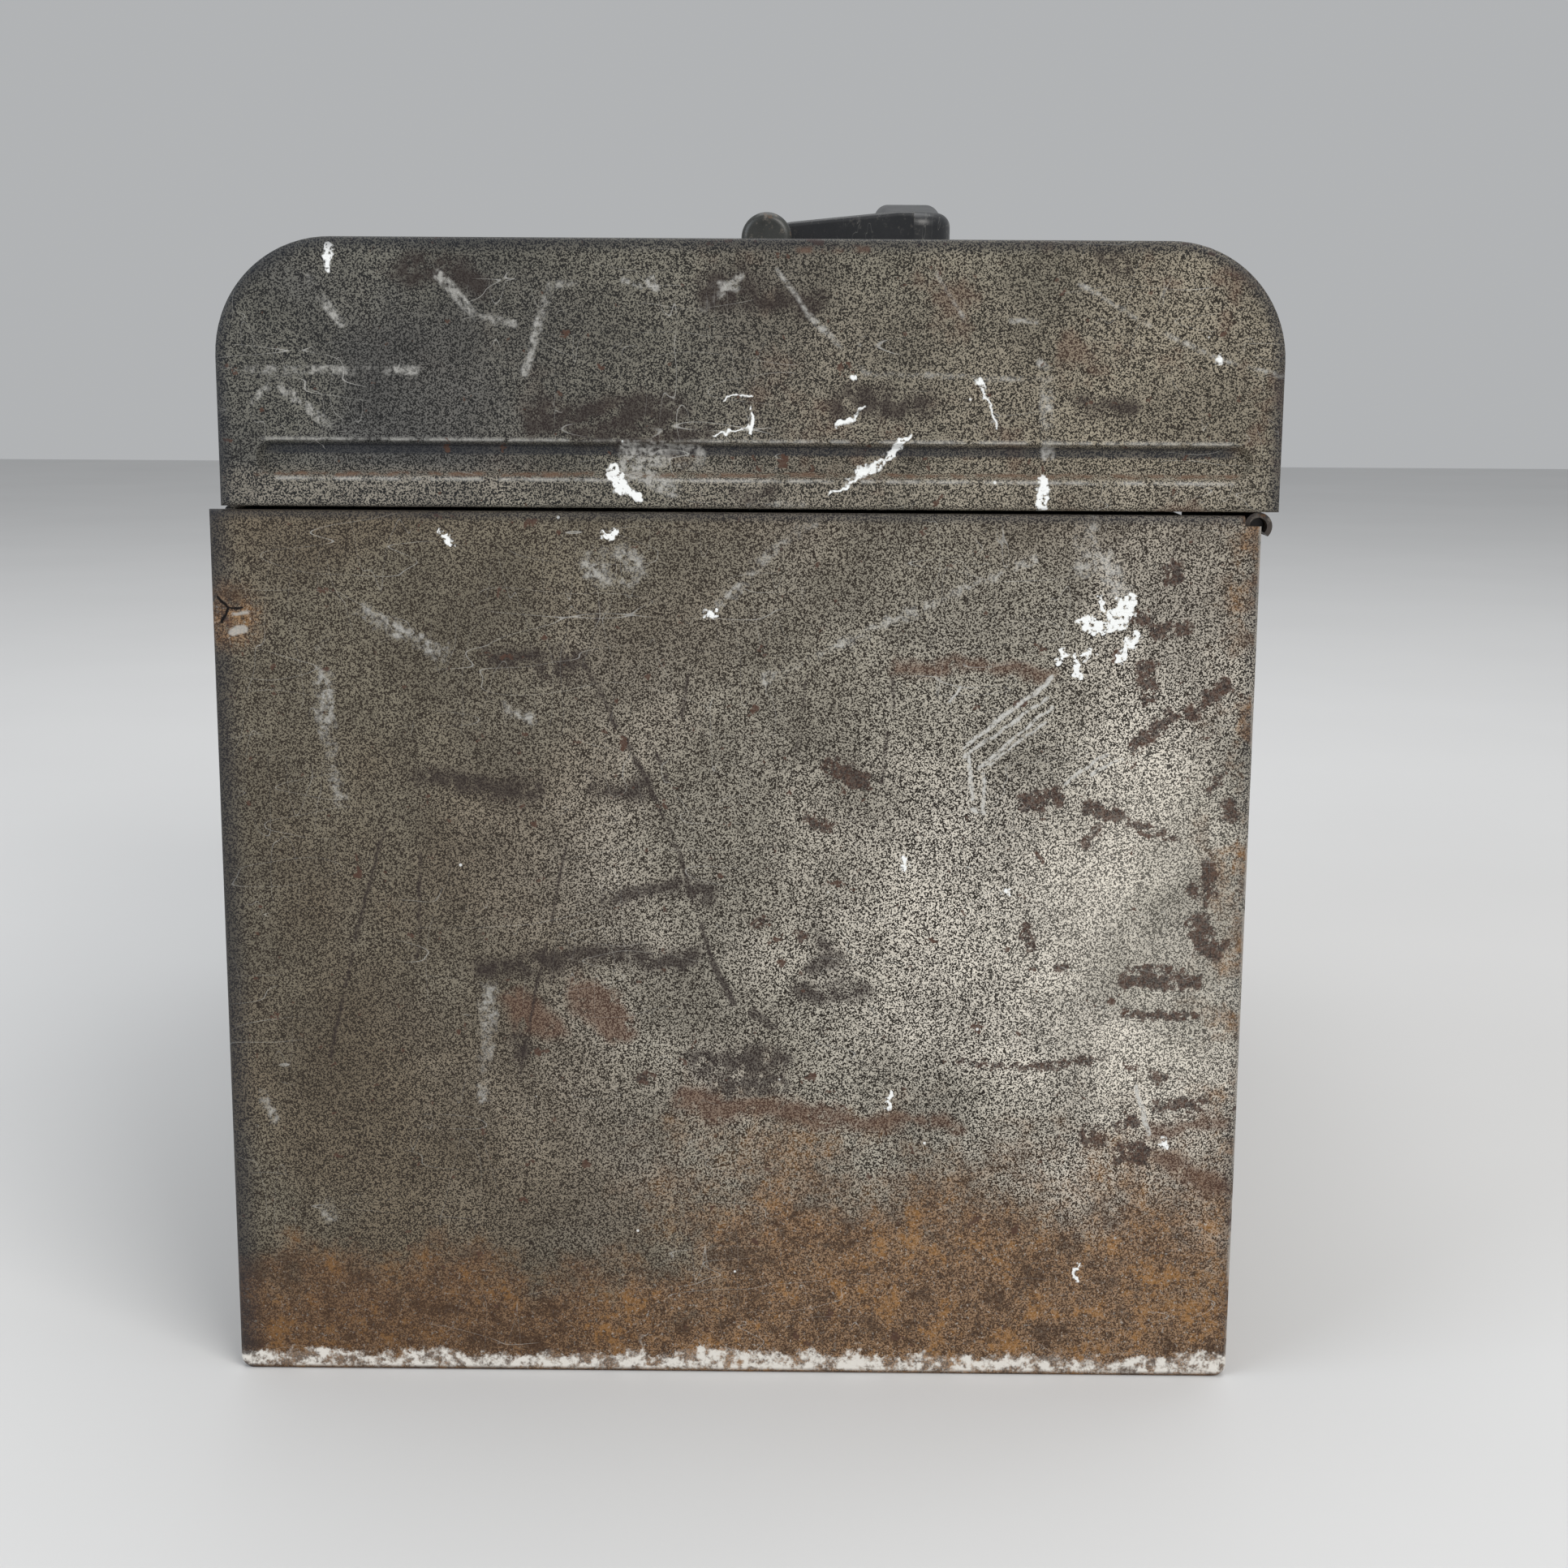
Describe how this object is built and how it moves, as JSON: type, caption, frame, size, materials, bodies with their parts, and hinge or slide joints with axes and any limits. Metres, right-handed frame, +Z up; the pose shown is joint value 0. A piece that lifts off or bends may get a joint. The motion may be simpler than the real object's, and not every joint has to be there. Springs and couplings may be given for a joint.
{
  "type": "lunch box",
  "caption": "Oblong painted sheet-steel box with a round-shouldered hinged lid, a folding handle on top and swing clasps on the front.",
  "frame": {"origin": "centre of the body's bottom face, on the surface that the box stands on", "axes": "+Z up, -X to the front with the clasps, +X to the rear with the hinge, +Y towards the left end panel"},
  "size_m": [0.2166, 0.33, 0.2446],
  "materials": {
    "body_paint": "grained grey-brown stove enamel, worn, with rust at the lower edges",
    "lid_paint": "grained charcoal stove enamel, worn, with pale paint marks",
    "handle_plastic": "black moulded plastic, dulled by use",
    "dark_steel": "dark brown oxidised steel, slightly glossy",
    "bare_steel": "dull plated steel with rust spots"
  },
  "bodies": {
    "body": {"body_wrapper": "body_paint", "body_end_right": "body_paint", "body_end_left": "body_paint", "hinge_leaf_body": "dark_steel", "hinge_pin": "dark_steel", "hinge_rivets_body": "body_paint", "latch_base_right": "bare_steel", "latch_base_left": "bare_steel", "clasp_pin_right": "bare_steel", "clasp_pin_left": "bare_steel", "latch_rivets": "bare_steel"},
    "lid": {"lid_wrapper": "lid_paint", "lid_end_right": "lid_paint", "lid_end_left": "lid_paint", "hinge_leaf_lid": "dark_steel", "hinge_rivets_lid": "lid_paint", "handle_saddle_right": "lid_paint", "handle_saddle_left": "lid_paint", "handle_rivets": "lid_paint", "handle_plate_right": "bare_steel", "handle_plate_left": "bare_steel", "strike_right": "bare_steel", "strike_left": "bare_steel", "strike_rivets": "bare_steel"},
    "handle": {"handle_grip": "handle_plastic", "handle_pins": "bare_steel"},
    "clasp_right": {"clasp_right": "bare_steel"},
    "clasp_left": {"clasp_left": "bare_steel"}
  },
  "joints": [
    {"name": "lid_hinge", "type": "hinge", "parent": "body", "child": "lid", "pos_m": [0.1011, 0, 0.1744], "axis": [0, 1, 0], "range_deg": [0, 115]},
    {"name": "handle_fold", "type": "hinge", "parent": "lid", "child": "handle", "pos_m": [0.0045, 0, 0.2325], "axis": [0, -1, 0], "range_deg": [0, 160]},
    {"name": "clasp_right_swing", "type": "hinge", "parent": "body", "child": "clasp_right", "pos_m": [-0.106, -0.09, 0.1565], "axis": [0, 1, 0], "range_deg": [0, 180]},
    {"name": "clasp_left_swing", "type": "hinge", "parent": "body", "child": "clasp_left", "pos_m": [-0.106, 0.09, 0.1565], "axis": [0, 1, 0], "range_deg": [0, 180]}
  ]
}
